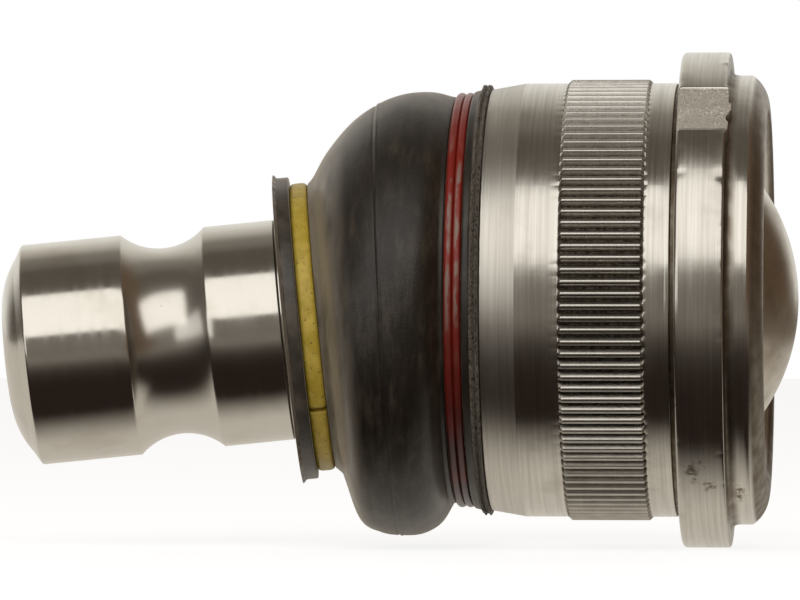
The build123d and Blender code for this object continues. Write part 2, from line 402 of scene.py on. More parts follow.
def build_housing(look, material):
    """The outline turned about X, with six columns to each ridge. On the knurl a vertex's radius
    is at most the groove's floor plus its sloped wall, by the distance from the groove's middle
    line, so the grooves end round. The notch limits the radius to floor / cos(angle), and nicks
    are small hollows of the shape depth * exp(-distance²)."""
    outline = housing_outline()
    x, drawn = outline[:, :1], outline[:, 1:]
    pitch = 2 * math.pi * KNURL_RADIUS / look.ridges
    half_groove = (pitch - RIDGE_LAND) / 2
    half_floor = GROOVE_FLOOR / 2
    aside = np.array([-pitch / 2, -half_groove, -half_floor, 0.0, half_floor, half_groove])
    angle = ((np.arange(look.ridges)[:, None] * pitch + aside) / KNURL_RADIUS).ravel()
    aside = np.tile(aside, look.ridges)
    radius = np.repeat(drawn, len(angle), axis=1)

    slope = (KNURL_RADIUS - GROOVE_FLOOR_RADIUS) / (half_groove - half_floor)
    overrun = half_floor + (BARREL_RADIUS - GROOVE_FLOOR_RADIUS) / slope
    middle, half_length = (KNURL_START + KNURL_END) / 2, (KNURL_END - KNURL_START) / 2
    beyond = np.maximum(np.abs(x - middle) - half_length + overrun, 0)
    groove = GROOVE_FLOOR_RADIUS + slope * np.maximum(np.hypot(beyond, aside) - half_floor, 0)
    at_knurl = (radius > BARREL_RADIUS - 0.5) & (x > KNURL_START - 0.5) & (x < KNURL_END + 0.6)
    grooved = np.where(at_knurl, np.minimum(radius, groove), radius)
    rubbed = at_knurl & (grooved >= KNURL_RADIUS - 0.02)
    rolled = np.clip((radius - grooved) / 0.5, 0, 1)
    radius = grooved

    rng = np.random.default_rng(7)
    off = turn_from(NOTCH_ANGLE, angle)
    waves = ripple(rng, radius.shape, 24)
    uneven = 0.1 * waves * (np.abs(off) < 0.3)
    floor = (FLANGE_RADIUS - NOTCH_DEPTH) / np.cos(np.clip(off, -0.5, 0.5)) + uneven
    notched = (np.abs(radius * np.sin(off)) < NOTCH_WIDTH / 2) & (np.abs(off) < 0.5) & (x > UNDERCUT_START)
    forged = notched & (radius > floor)
    radius = np.where(forged, floor, radius)

    along = np.where(rng.random(look.nicks) < 0.55, FLANGE_START + 0.2, FLANGE_END - 0.15)
    along = along + rng.normal(0, 0.12, look.nicks)
    ranges = ((0, 360), (0.08, 0.25), (0.15, 0.5), (0.02, 0.08))
    nicks = zip(along, *[rng.uniform(least, most, look.nicks) for least, most in ranges])
    for *spot, depth in [*KNOCKS, *nicks]:
        radius = radius - depth * near_spot(x, angle, *spot) * (radius > BARREL_RADIUS - 1)

    step = (drawn < BARREL_RADIUS - 0.1) & (x > UNDERCUT_START - 0.1) & (x < FLANGE_START + 0.5)
    root = 0.82 * np.clip((x - FLANGE_END + 0.1) / 0.15, 0, 1) * np.clip((FLANGE_END + 1.0 - x) / 0.3, 0, 1)
    low = np.clip(-np.sin(angle), 0, 1)
    # Painted shade: the rolled rim gets the oil colour for the dark that it reflects, stronger towards the
    # bottom
    roll_painted_shade = (0.65 + 0.3 * low) * np.clip((x - RIM_ROLL_START - 0.2) / 0.3, 0, 1)
    rim = np.where(drawn > 18, np.maximum(root, roll_painted_shade), 0)
    # Over the knurl, a brown film that gets darker towards the bottom
    knurled = (0.3 + 0.5 * low**2) * ((x > KNURL_START) & (x < KNURL_END) & (drawn > BARREL_RADIUS))
    marks = {
        "lathe": travelled(outline)[:, None],
        "rubbed": rubbed,
        "rolled": rolled,
        "forged": forged,
        # The stain mark: oil in the undercut and behind the flange, the knurl's brown film, and painted shade
        # on the rolled rim
        "stain": np.maximum(0.9 * step, np.maximum(rim, knurled)),
        "grimy": np.max([near_spot(x, angle, *spot) for spot in SMUDGES], axis=0) * (drawn > BARREL_RADIUS),
        "lead_in": np.clip((LEAD_IN_END + 0.05 - x) / 0.05, 0, 1) * (drawn > 20.9),
    }
    torn = np.exp(-(((x - FLANGE_END) / 0.3) ** 2)) * (np.abs(off) < 0.15) * (radius > RIM_RADIUS + 0.3)
    burr = torn * np.clip(0.22 + 0.16 * waves, 0, 0.5)
    return surface("housing_turned", spin(x + burr, radius, angle), True, material, marks)


def build_cover(material):
    """The cover's section turned about X: inside of the dome, plate, a small hollow at the dome's
    foot, and the dome to its crown."""
    plate_radius, hollow_start, dome, centre = 20.2, 14.6, 19.8, 2.0
    inner, foot_x = dome - (COVER_FACE - COVER_SEAT), COVER_FACE + 0.55
    foot = math.degrees(math.acos((foot_x - centre) / dome))
    inner_foot = math.degrees(math.acos((COVER_SEAT - centre) / inner))
    plate = [
        (COVER_SEAT, inner * math.sin(math.radians(inner_foot)), 0), (COVER_SEAT, plate_radius, 0.3),
        (COVER_FACE, plate_radius, 0.5), (COVER_FACE, hollow_start, 0),
    ]
    hollow = [
        (COVER_FACE, hollow_start, 0), (COVER_FACE, 13.5, 0.7),
        (foot_x, dome * math.sin(math.radians(foot)), 0),
    ]
    inside, outside = arc((centre, 0), inner, 1, inner_foot, 20), arc((centre, 0), dome, foot, 1, 40)
    outline = distinct(np.vstack([inside, soften(plate, 4), soften(hollow, 8), outside]))
    places = spin(outline[:, :1], outline[:, 1:], whole_turn(360))
    return surface("cover_dome", places, False, material, {"lathe": travelled(outline)[:, None]})


def build_stud(material):
    """The stud's section turned about its own axis, and tilted to rest: ball with a flat pole,
    neck, seal land, shank with its bolt groove, bevel and crowned tip."""
    ball, flat, neck, land, shank = 14.0, 4.5, 8.5, 10.7, 11.0
    tip, flat_tip, bevel_start, bevel_end, bevel_depth = -57.4, 4.5, -54.9, -55.65, 1.3
    groove_middle, groove_radius, groove_depth = -40.8, 6.0, 1.7
    pole = ball * math.cos(math.asin(flat / ball))
    sink = math.degrees(math.acos((groove_radius - groove_depth) / groove_radius))
    reach = groove_radius * math.sin(math.radians(sink))
    neck_turn = 180 - math.degrees(math.asin(neck / ball))
    crown = upright_arc(np.array([tip, flat_tip]), np.array([bevel_end, shank - bevel_depth]), 12)
    middle = [
        (-10.2, neck + 0.95, 0), (-11.2, neck, 0.9), (-16.5, neck, 0.6), (-22.0, land, 0.4),
        (-29.6, land, 0.08), (-29.6, shank, 0.15), (groove_middle + reach, shank, 0),
    ]
    bevel = [
        (groove_middle - reach, shank, 0), (bevel_start, shank, 0.18), (bevel_end, shank - bevel_depth, 0.12),
        (*crown[-2], 0),
    ]
    parts = [
        soften([(pole, 0.2, 0), (pole, flat, 0.2), (12.6, 6.1, 0)]),
        arc((0, 0), ball, 28, neck_turn - 6, 48),
        soften(middle),
        arc((groove_middle, shank - groove_depth + groove_radius), groove_radius, -90 + sink, -90 - sink, 28),
        soften(bevel),
        crown[::-1][2:],
        soften([(*crown[0], 0), (tip, 3.0, 0), (tip, 0.2, 0)]),
    ]
    outline = refine(distinct(np.vstack(parts)), 1.2)
    x = outline[:, :1]
    hollow = np.clip((reach + 0.1 - np.abs(x - groove_middle)) / 0.3, 0, 1)
    places = on_stud(spin(x, outline[:, 1:], whole_turn(300)))
    marks = {"lathe": travelled(outline)[:, None], "hollow": hollow}
    return surface("ball_stud_ground", places, False, material, marks)


def through(knots, values, u):
    """A smooth line through values at knots: a cubic on each run, whose slope at a knot is that of
    its two neighbours' chord."""
    knots, values = np.array(knots, float), np.array(values, float)
    slope = np.gradient(values, knots, axis=0)
    i = np.clip(np.searchsorted(knots, u, side="right") - 1, 0, len(knots) - 2)
    h = (knots[i + 1] - knots[i])[:, None]
    t = ((u - knots[i])[:, None]) / h
    return (
        (2 * t**3 - 3 * t**2 + 1) * values[i]
        + (t**3 - 2 * t**2 + t) * h * slope[i]
        + (3 * t**2 - 2 * t**3) * values[i + 1]
        + (t**3 - t**2) * h * slope[i + 1]
    )


def build_boot(look, material):
    """One closed skin: flash band, ring groove, bellows, collar and disc outside, and the same way
    back inside. Each row is a circle that has its own middle and faces along its share of the
    stud's tilt. The parting line stands proud by height * exp(-distance²) at the widest ring, and
    a hollow of the same form runs beside it."""
    u = np.unique(np.concatenate([np.linspace(0, 6, 64), np.linspace(2.92, 3.3, 16)]))
    skin = through(np.arange(7), np.array(BELLOWS_RINGS), u)
    line = np.exp(-(((u - 3.06) / 0.045) ** 2)) - 1.3 * np.exp(-(((u - 3.17) / 0.04) ** 2))
    skin[:, 1] += line * look.parting_height / MM
    lining = skin[::-3] - [0.0, BOOT_WALL, 0.0, 0.0]
    lip = [
        (8.7, 19.5, 0), (8.7, 21.3, 0.12), (8.9, 21.45, 0.08), (9.1, 21.05, 0.1), (9.35, 21.45, 0.12),
        (9.65, 20.95, 0.2), (10.4, 20.8, 0.25), (10.4, 19.82, 0.1), (12.16, 19.82, 0.1), (12.16, 20.25, 0.2),
        (12.6, 20.3, 0),
    ]
    collar = [
        (25.2, 14.9, 0), (25.5, 14.55, 0.12), (25.88, 14.2, 0.1), (25.88, 12.78, 0.1), (27.72, 12.78, 0.1),
        (27.72, 15.1, 0.14), (28.9, 15.1, 0.15), (29.25, 15.42, 0.03), (29.3, 15.0, 0.1), (29.3, 12.4, 0.3),
        (29.15, 10.75, 0.15), (25.3, 10.75, 0),
    ]
    foot = [(12.2, 18.85, 0), (11.75, 18.85, 0.1), (11.15, 18.25, 0.1), (8.7, 18.25, 0.2), (8.7, 19.5, 0)]
    lip, foot = soften(lip, 5)[:-1], soften(foot, 3)[:-1]
    lip, foot = [np.hstack([part, np.zeros((len(part), 2))]) for part in (lip, foot)]
    collar = soften(collar, 4)[1:]
    collar = np.hstack([collar, collar[:, :1], np.ones((len(collar), 1))])
    rows = np.vstack([lip, skin, collar, lining, foot])
    distance, radius, place, share = [column[:, None] for column in rows.T]

    angle = whole_turn(320)
    flash = (distance < 9.6) & (radius > 20.6)
    feather = (distance > 28.9) & (radius > 15.2)
    ragged = ripple(np.random.default_rng(11), (len(rows), len(angle)), 20)
    radius = radius + ragged * (0.09 * flash + 0.07 * feather)
    tilt = REST_TILT * share
    ahead = np.stack([-distance * np.cos(tilt), 0 * tilt, 0 * tilt], axis=-1)
    middle = ahead + LEAN * (place * math.sin(REST_TILT))[..., None]
    points = middle + on_stud(spin(0.0, radius, angle), tilt)
    disc = np.clip((distance - 27.7) / 0.3, 0, 1)
    dusty = np.clip((distance - 21.8) / 2.6, 0, 1) * (distance < 25.9) * (radius > 14)
    marks = {"flash": flash, "disc": disc, "feather": feather, "shoulder": dusty}
    return surface("boot_moulded", points, True, material, marks)


def tube(x, radius, turn, ring):
    """Carries a section round X: each place is a point of the path, at its X and radius, plus the
    section's two sizes, the first outward and the second along X."""
    path, out = spin(x, radius, turn), spin(0.0, 1.0, turn)
    return path[:, None] + out[:, None] * ring[:, :1] + np.array([1.0, 0, 0]) * ring[:, 1:]


def build_wire_ring(material):
    """Two turns of wire side by side, wound as one: the path goes twice round, and steps over by
    one wire at the back, where its two ends stop. The section is a circle."""
    half_gap, first, pitch = math.radians(3.0), 10.85, WIRE - 0.02
    turn = np.linspace(half_gap, 4 * math.pi - half_gap, 560)
    over = np.clip((turn - 2 * math.pi + half_gap) / (2 * half_gap), 0, 1)
    x = -(first + pitch * over * over * (3 - 2 * over))
    around = whole_turn(20)
    ring = np.stack([np.cos(around), np.sin(around)], axis=1) * WIRE / 2
    points = tube(x, WIRE_RING_RADIUS - WIRE / 2, turn, ring)
    return surface("clamp_ring_wire", points, False, material, {"crest": np.cos(around)})


def build_split_ring(material):
    """A flat ring with rounded corners, cut once: a rounded rectangle carried round the stud's axis
    from one side of the cut to the other."""
    start, width, height, cut, gap = 25.9, 1.8, 1.6, math.radians(215), 0.54
    half_cut = gap / 2 / SPLIT_RING_RADIUS
    turn = np.linspace(cut + half_cut, cut + 2 * math.pi - half_cut, 300)
    around = whole_turn(32)
    circle = np.stack([np.cos(around), np.sin(around)], axis=1)
    ring = np.sign(circle) * np.abs(circle) ** 0.55 * [height / 2, width / 2]
    points = tube(-start - width / 2, SPLIT_RING_RADIUS - height / 2, turn, ring)
    return surface("split_ring_moulded", on_stud(points), False, material)


# Materials


# What add is given for a Mix node that mixes colours
COLOURS = {"out": 2, "data_type": "RGBA"}


def add(tree, kind, inputs, out=0, **settings):
    """Adds a node with its settings, and returns one of its outputs. Each input gets a value, a
    colour in sRGB hex, or a link from another node's output."""
    node = tree.nodes.new("ShaderNode" + kind)
    for name, value in settings.items():
        setattr(node, name, value)
    for name, value in inputs.items():
        socket = node.inputs[name]
        value = linear(value) if isinstance(value, str) else value
        if isinstance(value, bpy.types.NodeSocket):
            tree.links.new(value, socket)
        else:
            socket.default_value = (*value, 1.0) if socket.type == "RGBA" else value
    return node.outputs[out] if out is not None else node


def new_material(name):
    """An empty node material, with its Object coordinates in millimetres."""
    material = bpy.data.materials.new(name)
    material.use_nodes = True
    tree = material.node_tree
    tree.nodes.clear()
    here = add(tree, "TexCoord", {}, "Object")
    place = add(tree, "VectorMath", {0: here, "Scale": 1 / MM}, operation="SCALE")
    return material, tree, place


def span(value, low, high, start=0.0, end=1.0):
    """The inputs that bring a value from between low and high to between start and end."""
    return {"Value": value, "From Min": low, "From Max": high, "To Min": start, "To Max": end}


def finished(material, tree, finish):
    """The material, with its finish joined to its output."""
    add(tree, "OutputMaterial", {0: add(tree, "BsdfPrincipled", finish)}, None)
    return material


def blotches(tree, place, size, low=0.35, high=0.65, start=0.0, end=1.0, detail=3.0, roughness=0.55):
    """Soft blotches about as wide as size, in millimetres: noise whose values from low to high run
    from start to end."""
    pattern = {"Vector": place, "Scale": 1 / size, "Detail": detail, "Roughness": roughness}
    noise = add(tree, "TexNoise", pattern)
    return add(tree, "MapRange", span(noise, low, high, start, end), interpolation_type="SMOOTHSTEP")


def tool_marks(tree, place, pitch):
    """Tool marks that run round a turned surface: noise that is fine along the section and drawn
    out round it."""
    travelled_marks = add(tree, "Attribute", {}, "Fac", attribute_name="lathe")
    along = add(tree, "Math", {0: travelled_marks, 1: MM / pitch}, operation="MULTIPLY")
    drawn_out = add(tree, "VectorMath", {0: place, 1: (0.0, 0.06, 0.06)}, operation="MULTIPLY")
    forward = add(tree, "CombineXYZ", {0: along})
    vector = add(tree, "VectorMath", {0: forward, 1: drawn_out}, operation="ADD")
    return add(tree, "TexNoise", {"Vector": vector, "Scale": 1.0, "Detail": 2.0, "Roughness": 0.6})


def turned_steel(look):
    """Forged alloy steel, turned dry and then lightly oiled: fine rings round every surface that
    stretch its highlights sideways, a duller coarse-cut lead-in, rubbed ridges between dull
    grooves that the knurling wheel pressed, whose floors are darker with packed dirt and painted
    shade, brown dried oil in the steps, a brown film over the knurl that gets darker towards the
    bottom, painted shade in the oil colour on the rolled rim, and the grey-beige scale of the
    forging where the tool didn't reach. Real turning marks are about half as far apart, which is
    too fine to show."""
    material, tree, place = new_material("turned_steel_oiled")
    names = ("forged", "rubbed", "rolled", "stain", "grimy", "lead_in")
    marks = [add(tree, "Attribute", {}, "Fac", attribute_name=name) for name in names]
    forged, rubbed, rolled, stain, grimy, lead_in = marks
    rings = tool_marks(tree, place, look.lathe_pitch)
    bands = tool_marks(tree, place, look.lathe_pitch * 5)
    pits = blotches(tree, place, 0.22, 0.38, 0.62, detail=4.0, roughness=0.7)

    film = blotches(tree, place, 5.0, 0.52, 0.75, 0.0, 0.18)
    shade = add(tree, "MapRange", span(rings, 0.35, 0.65, 0.0, 0.3))
    cut = add(tree, "Mix", {0: shade, 6: look.steel, 7: "#8f897e"}, **COLOURS)
    filmed = add(tree, "Mix", {0: film, 6: cut, 7: look.oil}, **COLOURS)
    # Patches of the oil colour where the stain mark is set: oil in the undercut and behind the flange, a film
    # over the knurl darker towards the bottom, and painted shade on the rolled rim
    patchy = blotches(tree, place, 1.6, 0.3, 0.62, 0.75, 1.0)
    film_and_shade_left = add(tree, "Math", {0: stain, 1: patchy}, operation="MULTIPLY")
    crumbled = blotches(tree, place, 0.7, 0.3, 0.7, detail=6.0, roughness=0.75)
    heaped = add(tree, "Math", {0: grimy, 1: crumbled}, operation="ADD")
    crumbs = add(tree, "MapRange", span(heaped, 1.15, 1.75, 0.0, 0.85))
    dried = add(tree, "Math", {0: film_and_shade_left, 1: crumbs}, operation="MAXIMUM")
    stained = add(tree, "Mix", {0: dried, 6: filmed, 7: look.oil}, **COLOURS)
    worn = add(tree, "Math", {0: rubbed, 1: look.ridge_wear}, operation="MULTIPLY")
    bright = add(tree, "Mix", {0: worn, 6: stained, 7: "#e6e3dc"}, **COLOURS)
    # Groove floors turn darker brown the deeper they go: packed dirt, and painted shade
    packed = blotches(tree, place, 0.35, 0.35, 0.65, 0.6, 1.0, 4.0)
    pressed = add(tree, "Math", {0: rolled, 1: packed}, operation="MULTIPLY")
    grooved = add(tree, "Mix", {0: pressed, 6: bright, 7: "#4f4335"}, **COLOURS)
    sunk = [0.84 * share for share in look.scale]
    speckled = add(tree, "Mix", {0: pits, 6: sunk, 7: look.scale}, **COLOURS)
    colour = add(tree, "Mix", {0: forged, 6: grooved, 7: speckled}, **COLOURS)

    smooth = add(tree, "MapRange", span(bands, 0.35, 0.65, 0.15, 0.24))
    coarser = add(tree, "Mix", {0: lead_in, 2: smooth, 3: 0.36})
    dull = add(tree, "Mix", {0: rolled, 2: coarser, 3: 0.42})
    caked = add(tree, "Mix", {0: dried, 2: dull, 3: 0.5})
    rough = add(tree, "Mix", {0: forged, 2: caked, 3: 0.6})
    metal = add(tree, "MapRange", span(forged, 0.0, 1.0, 1.0, 0.0))
    fine = add(tree, "Bump", {"Height": rings, "Distance": 0.014 * MM, "Strength": 0.9})
    uneven = add(tree, "Math", {0: rolled, 1: 0.35, 2: forged}, operation="MULTIPLY_ADD")
    height = add(tree, "Math", {0: pits, 1: uneven}, operation="MULTIPLY")
    coarse = add(tree, "Bump", {"Height": height, "Distance": 0.1 * MM, "Strength": 1.0, "Normal": fine})
    finish = {"Base Color": colour, "Metallic": metal, "Roughness": rough, "Normal": coarse}
    return finished(material, tree, finish)


def pressed_steel(look):
    """Low-carbon sheet steel, pressed: brown-grey and smooth from the die, with a few dull blotches
    and dark pinpricks."""
    material, tree, place = new_material("pressed_steel_dull")
    patch = blotches(tree, place, 4.0, 0.35, 0.75, 0.0, 0.6, 4.0)
    speck = blotches(tree, place, 0.35, 0.66, 0.74, 0.0, 0.6)
    base = add(tree, "Mix", {0: patch, 6: look.steel, 7: "#8d8070"}, **COLOURS)
    colour = add(tree, "Mix", {0: speck, 6: base, 7: "#5b5046"}, **COLOURS)
    rough = blotches(tree, place, 4.0, 0.3, 0.7, 0.2, 0.3, 4.0)
    bump = add(tree, "Bump", {"Height": speck, "Distance": 0.002 * MM, "Strength": 0.6})
    finish = {"Base Color": colour, "Metallic": 1.0, "Roughness": rough, "Normal": bump}
    return finished(material, tree, finish)


def ground_steel(look):
    """Hardened alloy steel, ground between centres: closer and shallower rings than turning
    leaves, a brighter shine but for the turned bolt groove, faint brown handling stains and small
    dark pits. Real grinding marks are about half as far apart, which is too fine to show."""
    material, tree, place = new_material("ground_steel_hardened")
    rings = tool_marks(tree, place, look.grind_pitch)
    bands = tool_marks(tree, place, look.grind_pitch * 8)
    stain = blotches(tree, place, 6.0, 0.45, 0.75, 0.0, 0.22)
    pit = blotches(tree, place, 0.4, 0.78, 0.83, 0.0, 0.7, 1.0)
    base = add(tree, "Mix", {0: stain, 6: look.steel, 7: "#8f8069"}, **COLOURS)
    colour = add(tree, "Mix", {0: pit, 6: base, 7: "#3e352d"}, **COLOURS)
    ground = add(tree, "MapRange", span(bands, 0.35, 0.65, 0.12, 0.18))
    turned = add(tree, "Attribute", {}, "Fac", attribute_name="hollow")
    rough = add(tree, "Mix", {0: turned, 2: ground, 3: 0.22})
    fine = add(tree, "Bump", {"Height": rings, "Distance": 0.004 * MM, "Strength": 0.8})
    pitted = add(tree, "Bump", {"Height": pit, "Distance": -0.01 * MM, "Strength": 0.6, "Normal": fine})
    finish = {"Base Color": colour, "Metallic": 1.0, "Roughness": rough, "Normal": pitted}
    return finished(material, tree, finish)


def moulded_acetal(look):
    """Acetal, injection moulded: waxy off-white with a faint flow pattern and a film of grease."""
    material, tree, place = new_material("acetal_moulded")
    flow = blotches(tree, place, 3.0, 0.3, 0.7)
    colour = add(tree, "Mix", {0: flow, 6: look.plastic, 7: "#bdb59c"}, **COLOURS)
    rough = blotches(tree, place, 3.0, 0.3, 0.7, 0.28, 0.4)
    bump = add(tree, "Bump", {"Height": blotches(tree, place, 0.3), "Distance": 0.01 * MM})
    return finished(material, tree, {"Base Color": colour, "Roughness": rough, "IOR": 1.48, "Normal": bump})


def moulded_rubber(look):
    """Chloroprene rubber, compression moulded: brown-black and satin, with a fine mould texture,
    bloom in streaks that run round it, dust on the shoulder by the split ring, and a torn rough
    edge where the flash was trimmed. Talc in the skin lifts its edges against the light."""
    material, tree, place = new_material("chloroprene_rubber_moulded")
    names = ("flash", "disc", "feather", "shoulder")
    marks = [add(tree, "Attribute", {}, "Fac", attribute_name=name) for name in names]
    flash, disc, feather, shoulder = marks
    drawn_out = add(tree, "VectorMath", {0: place, 1: (1.0, 0.22, 0.22)}, operation="MULTIPLY")
    streak = blotches(tree, drawn_out, 0.9, 0.38, 0.7, detail=6.0, roughness=0.7)
    patch = blotches(tree, place, 3.5, 0.36, 0.7, 0.2, 0.8, 5.0)
    torn = blotches(tree, place, 0.3, 0.42, 0.68, detail=5.0, roughness=0.75)
    skin = blotches(tree, place, 0.2, 0.3, 0.7, detail=2.0)

    bloom = add(tree, "Math", {0: streak, 1: patch}, operation="MULTIPLY")
    base = add(tree, "Mix", {0: bloom, 6: look.rubber, 7: "#4a4237"}, **COLOURS)
    drifts = blotches(tree, drawn_out, 1.3, 0.25, 0.6, 0.25, 0.75, 5.0)
    settled = add(tree, "Math", {0: shoulder, 1: drifts}, operation="MULTIPLY")
    dusty = add(tree, "Mix", {0: settled, 6: base, 7: look.dust}, **COLOURS)
    chewed = add(tree, "Math", {0: flash, 1: torn}, operation="MULTIPLY")
    frayed = add(tree, "Mix", {0: chewed, 6: dusty, 7: "#6d655b"}, **COLOURS)
    handled = add(tree, "Math", {0: disc, 1: patch, 2: feather}, operation="MULTIPLY_ADD", use_clamp=True)
    colour = add(tree, "Mix", {0: handled, 6: frayed, 7: "#70665b"}, **COLOURS)

    rough = blotches(tree, place, 6.0, 0.3, 0.75, 0.34, 0.46, 4.0)
    fine = add(tree, "Bump", {"Height": skin, "Distance": 0.012 * MM, "Strength": 0.8})
    ragged = add(tree, "Bump", {"Height": chewed, "Distance": 0.2 * MM, "Strength": 1.0, "Normal": fine})
    finish = {"Base Color": colour, "Roughness": rough, "IOR": 1.52, "Normal": ragged}
    talc = {"Sheen Weight": 0.9, "Sheen Roughness": 0.26, "Sheen Tint": "#d8cbb8"}
    return finished(material, tree, {**finish, **talc})


def coated_wire(look):
    """Spring wire with a red dipped coating: glossy in the hollows, rubbed grey along the crests
    near its middle height, which is partly wear and partly a painted highlight, and darker towards
    the bottom, which is painted shade broken up by oily blotches."""
    material, tree, place = new_material("spring_wire_red_coated")
    crest = add(tree, "Attribute", {}, "Fac", attribute_name="crest")
    outer = add(tree, "MapRange", span(crest, 0.7, 1.0))
    along = add(tree, "VectorMath", {0: place, 1: (1.0, 0.3, 0.3)}, operation="MULTIPLY")
    height = add(tree, "SeparateXYZ", {0: place}, 2)
    handled = add(tree, "MapRange", span(height, 17.0, 11.0))
    low = add(tree, "MapRange", span(height, 6.0, -14.0))
    upper = add(tree, "MapRange", span(height, -7.0, 1.0))
    # Rubbed coating and a painted highlight: the worn colour goes on the outer crests, mostly between 1 and
    # 11 mm up
    middle = add(tree, "Math", {0: handled, 1: upper}, operation="MULTIPLY")
    wear_and_highlight_reach = add(tree, "Math", {0: outer, 1: middle}, operation="MULTIPLY")
    rubs = blotches(tree, along, 0.9, 0.46, 0.58, 0.0, 0.9, 4.0)
    wear = add(tree, "Math", {0: wear_and_highlight_reach, 1: rubs}, operation="MULTIPLY")
    # Painted shade: the coating turns darker towards the bottom, broken up by oily blotches
    oily = blotches(tree, along, 2.0, 0.25, 0.6, 0.45, 0.9, 4.0)
    shade_and_grime = add(tree, "Math", {0: low, 1: oily}, operation="MULTIPLY")
    rubbed = add(tree, "Mix", {0: wear, 6: look.coating, 7: look.worn}, **COLOURS)
    colour = add(tree, "Mix", {0: shade_and_grime, 6: rubbed, 7: "#341613"}, **COLOURS)
    rough = add(tree, "Mix", {0: wear, 2: 0.32, 3: 0.55})
    dips = blotches(tree, place, 0.9, detail=4.0)
    bump = add(tree, "Bump", {"Height": dips, "Distance": 0.02 * MM, "Strength": 0.6})
    return finished(material, tree, {"Base Color": colour, "Roughness": rough, "IOR": 1.5, "Normal": bump})


def moulded_yellow(look):
    """Glass-filled nylon, injection moulded and tinted yellow: dull, with dark specks of grease and
    lighter flow streaks."""
    material, tree, place = new_material("nylon_yellow_moulded")
    flow = blotches(tree, place, 1.6, 0.35, 0.7, detail=4.0)
    speck = blotches(tree, place, 0.3, 0.6, 0.7, 0.0, 0.85, roughness=0.7)
    base = add(tree, "Mix", {0: flow, 6: look.plastic, 7: "#dcc052"}, **COLOURS)
    colour = add(tree, "Mix", {0: speck, 6: base, 7: "#4a3a18"}, **COLOURS)
    rough = blotches(tree, place, 1.6, 0.3, 0.7, 0.38, 0.55, 4.0)
    bump = add(tree, "Bump", {"Height": speck, "Distance": 0.02 * MM, "Strength": 0.6})
    return finished(material, tree, {"Base Color": colour, "Roughness": rough, "IOR": 1.53, "Normal": bump})


# Stage: what the part stands on, what lights it, and the camera

# What the studio looks like round the X axis, as (degrees up from the camera's direction, sRGB):
# white behind the part, grey in front of it and above, and nearly black in front below. Its two
# ends are plain: brown-grey past the domed cover, and grey past the stud's tip.
STUDIO = [
    (-180, "#dcd8d0"), (-90, "#dcd8d0"), (-81, "#2c2622"), (-48, "#2c2421"), (-20, "#716b65"),
    (8, "#87817a"), (66, "#6a645c"), (77, "#655f57"), (95, "#655f57"), (105, "#87817a"),
    (116, "#928c84"), (129, "#d1ccc4"), (147, "#f6f3ec"), (180, "#f6f3ec"),
]
STUDIO_RIGHT = "#6b5a4a"
STUDIO_LEFT = "#66605a"

# The part's middle, in metres, which the lights and the camera face
TARGET = Vector((-0.018, 0, 0))


def studio_world():
    """White to the camera, and to everything else a ring of tones by the angle round X, which lights
    the part and shows in its metal."""
    world = bpy.data.worlds.new("studio")
    bpy.context.scene.world = world
    world.use_nodes = True
    tree = world.node_tree
    tree.nodes.clear()
    direction = add(tree, "TexCoord", {}, "Generated")
    sideways, away, up = [add(tree, "SeparateXYZ", {0: direction}, axis) for axis in range(3)]
    forward = add(tree, "Math", {0: away, 1: -1.0}, operation="MULTIPLY")
    turn = add(tree, "Math", {0: up, 1: forward}, operation="ARCTAN2")
    share = add(tree, "MapRange", span(turn, -math.pi, math.pi))
    tones = add(tree, "ValToRGB", {0: share})
    stops = tones.node.color_ramp.elements
    while len(stops) < len(STUDIO):
        stops.new(0.5)
    for stop, (degrees, colour) in zip(stops, STUDIO):
        stop.position = (degrees + 180) / 360
        stop.color = (*linear(colour), 1.0)
    past_cover = add(tree, "MapRange", span(sideways, 0.32, 0.58))
    past_tip = add(tree, "MapRange", span(sideways, -0.6, -0.85))
    right = add(tree, "Mix", {0: past_cover, 6: tones, 7: STUDIO_RIGHT}, **COLOURS)
    ends = add(tree, "Mix", {0: past_tip, 6: right, 7: STUDIO_LEFT}, **COLOURS)
    around = add(tree, "Background", {0: ends})
    white = add(tree, "Background", {0: (1.0, 1.0, 1.0)})
    seen = add(tree, "LightPath", {}, "Is Camera Ray")
    add(tree, "OutputWorld", {0: add(tree, "MixShader", {0: seen, 1: around, 2: white})}, None)


